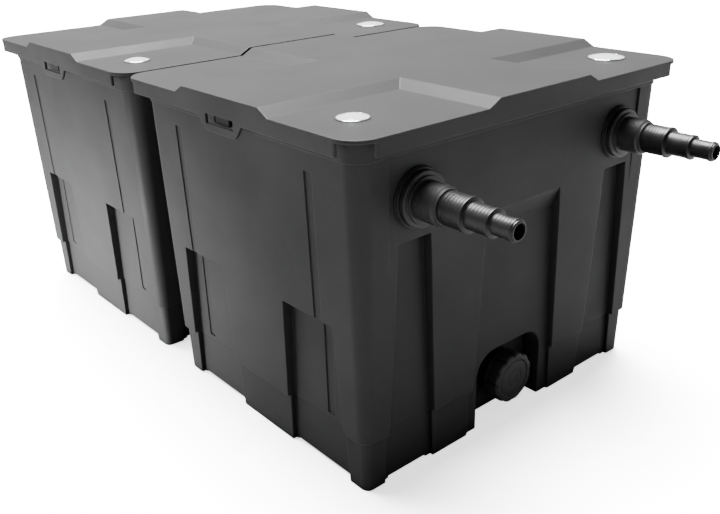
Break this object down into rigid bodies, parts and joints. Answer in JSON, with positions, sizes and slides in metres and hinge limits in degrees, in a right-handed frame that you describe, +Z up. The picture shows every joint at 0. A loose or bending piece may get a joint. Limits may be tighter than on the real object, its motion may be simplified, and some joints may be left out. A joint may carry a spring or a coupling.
{
  "type": "two-chamber pond filter",
  "caption": "Flow-through box pond filter: two joined tubs with lift-off lids, clear windows, stepped hose tails, screw-capped drains, foam cartridges and media baskets.",
  "frame": {"origin": "on the ground, midway between the two tubs", "axes": "+X towards the inlet end along the row of tubs, +Z up, +Y across the row towards the rear"},
  "size_m": [1.221, 0.59, 0.4615],
  "materials": {
    "tub_plastic": "fine matte grain",
    "lid_plastic": "fine matte grain",
    "pipe_plastic": "semi-gloss",
    "cap_plastic": "matte",
    "rubber": "matte",
    "clear_plastic": "polished",
    "ring_metal": "polished",
    "float_red": "satin",
    "float_white": "satin",
    "float_cream": "satin",
    "dial_white": "satin",
    "steel": "brushed",
    "foam_blue": "open-pored foam",
    "foam_dark": "open-pored foam",
    "mat_green": "tangled fibre",
    "mat_dark": "tangled fibre",
    "media_plastic": "matte",
    "handle_orange": "satin",
    "ball_blue": "matte"
  },
  "bodies": {
    "casing": {"inlet_tub": "tub_plastic", "outlet_tub": "tub_plastic", "dirt_indicator_guide": "pipe_plastic", "flow_indicator_guide": "pipe_plastic", "level_indicator_guide": "pipe_plastic", "inlet_hose_tail_front": "pipe_plastic", "inlet_hose_tail_rear": "pipe_plastic", "inlet_tail_gaskets": "rubber", "inlet_tail_lock_nuts": "pipe_plastic", "outlet_pipe_front": "pipe_plastic", "outlet_pipe_rear": "pipe_plastic", "outlet_pipe_gaskets": "rubber", "outlet_pipe_lock_nuts": "pipe_plastic", "transfer_pipe_front": "pipe_plastic", "transfer_pipe_rear": "pipe_plastic", "transfer_pipe_seals": "rubber", "transfer_pipe_lock_nuts": "pipe_plastic", "inlet_drain_spigot": "pipe_plastic", "outlet_drain_spigot": "pipe_plastic", "drain_spigot_gaskets": "rubber", "drain_spigot_lock_nuts": "pipe_plastic", "inlet_media_grid": "media_plastic", "outlet_media_grid": "media_plastic", "coarse_mat": "mat_green", "fine_mat": "mat_dark"},
    "inlet_lid": {"inlet_lid": "lid_plastic", "inlet_lid_seal": "rubber", "inlet_window_front": "clear_plastic", "inlet_window_rear": "clear_plastic", "inlet_window_rings": "ring_metal"},
    "outlet_lid": {"outlet_lid": "lid_plastic", "outlet_lid_seal": "rubber", "outlet_window_front": "clear_plastic", "outlet_window_rear": "clear_plastic", "outlet_window_rings": "ring_metal", "thermometer_dial": "dial_white", "thermometer_probe": "steel"},
    "dirt_indicator": {"dirt_indicator_float": "float_red"},
    "flow_indicator": {"flow_indicator_float": "float_white"},
    "level_indicator": {"level_indicator_float": "float_cream"},
    "inlet_drain_seal": {"inlet_drain_cap_seal": "rubber"},
    "inlet_drain_cap": {"inlet_drain_cap": "cap_plastic"},
    "outlet_drain_seal": {"outlet_drain_cap_seal": "rubber"},
    "outlet_drain_cap": {"outlet_drain_cap": "cap_plastic"},
    "front_basket": {"media_basket_front": "media_plastic", "bio_balls_front": "ball_blue"},
    "rear_basket": {"media_basket_rear": "media_plastic", "bio_balls_rear": "ball_blue"},
    "front_basket_handle": {"basket_handle_front": "handle_orange"},
    "rear_basket_handle": {"basket_handle_rear": "handle_orange"},
    "foam_cartridge_1": {"foam_block_1": "foam_blue", "foam_puller_1": "handle_orange"},
    "foam_cartridge_2": {"foam_block_2": "foam_dark", "foam_puller_2": "handle_orange"},
    "foam_cartridge_3": {"foam_block_3": "foam_dark", "foam_puller_3": "handle_orange"},
    "foam_cartridge_4": {"foam_block_4": "foam_blue", "foam_puller_4": "handle_orange"}
  },
  "joints": [
    {"name": "inlet_lid_lift", "type": "slide", "parent": "casing", "child": "inlet_lid", "axis": [0, 0, 1], "range_m": [0, 0.2]},
    {"name": "outlet_lid_lift", "type": "slide", "parent": "casing", "child": "outlet_lid", "axis": [0, 0, 1], "range_m": [0, 0.2]},
    {"name": "dirt_indicator_rise", "type": "slide", "parent": "casing", "child": "dirt_indicator", "axis": [0, 0, 1], "range_m": [-0.055, 0]},
    {"name": "flow_indicator_rise", "type": "slide", "parent": "casing", "child": "flow_indicator", "axis": [0, 0, 1], "range_m": [-0.055, 0]},
    {"name": "level_indicator_rise", "type": "slide", "parent": "casing", "child": "level_indicator", "axis": [0, 0, 1], "range_m": [-0.055, 0]},
    {"name": "inlet_drain_cap_advance", "type": "slide", "parent": "casing", "child": "inlet_drain_seal", "axis": [1, 0, 0], "range_m": [0, 0.0091]},
    {"name": "inlet_drain_cap_turn", "type": "hinge", "parent": "inlet_drain_seal", "child": "inlet_drain_cap", "pos_m": [0.4478, 0, 0.056], "axis": [1, 0, 0], "range_deg": [0, 540]},
    {"name": "outlet_drain_cap_advance", "type": "slide", "parent": "casing", "child": "outlet_drain_seal", "axis": [-1, 0, 0], "range_m": [0, 0.0091]},
    {"name": "outlet_drain_cap_turn", "type": "hinge", "parent": "outlet_drain_seal", "child": "outlet_drain_cap", "pos_m": [-0.4478, 0, 0.056], "axis": [-1, 0, 0], "range_deg": [0, 540]},
    {"name": "foam_cartridge_1_lift", "type": "slide", "parent": "casing", "child": "foam_cartridge_1", "axis": [0, 0, 1], "range_m": [0, 0.04]},
    {"name": "foam_cartridge_2_lift", "type": "slide", "parent": "casing", "child": "foam_cartridge_2", "axis": [0, 0, 1], "range_m": [0, 0.04]},
    {"name": "foam_cartridge_3_lift", "type": "slide", "parent": "casing", "child": "foam_cartridge_3", "axis": [0, 0, 1], "range_m": [0, 0.04]},
    {"name": "foam_cartridge_4_lift", "type": "slide", "parent": "casing", "child": "foam_cartridge_4", "axis": [0, 0, 1], "range_m": [0, 0.04]},
    {"name": "front_basket_lift", "type": "slide", "parent": "casing", "child": "front_basket", "axis": [0, 0, 1], "range_m": [0, 0.035]},
    {"name": "front_basket_handle_swing", "type": "hinge", "parent": "front_basket", "child": "front_basket_handle", "pos_m": [-0.2678, -0.12, 0.305], "axis": [1, 0, 0], "range_deg": [0, 90]},
    {"name": "rear_basket_lift", "type": "slide", "parent": "casing", "child": "rear_basket", "axis": [0, 0, 1], "range_m": [0, 0.035]},
    {"name": "rear_basket_handle_swing", "type": "hinge", "parent": "rear_basket", "child": "rear_basket_handle", "pos_m": [-0.2678, 0.12, 0.305], "axis": [1, 0, 0], "range_deg": [0, 90]}
  ],
  "couplings": [
    {"joint": "inlet_drain_cap_advance", "follows": "inlet_drain_cap_turn", "m_per_rad": 0.00095493},
    {"joint": "outlet_drain_cap_advance", "follows": "outlet_drain_cap_turn", "m_per_rad": 0.00095493}
  ]
}
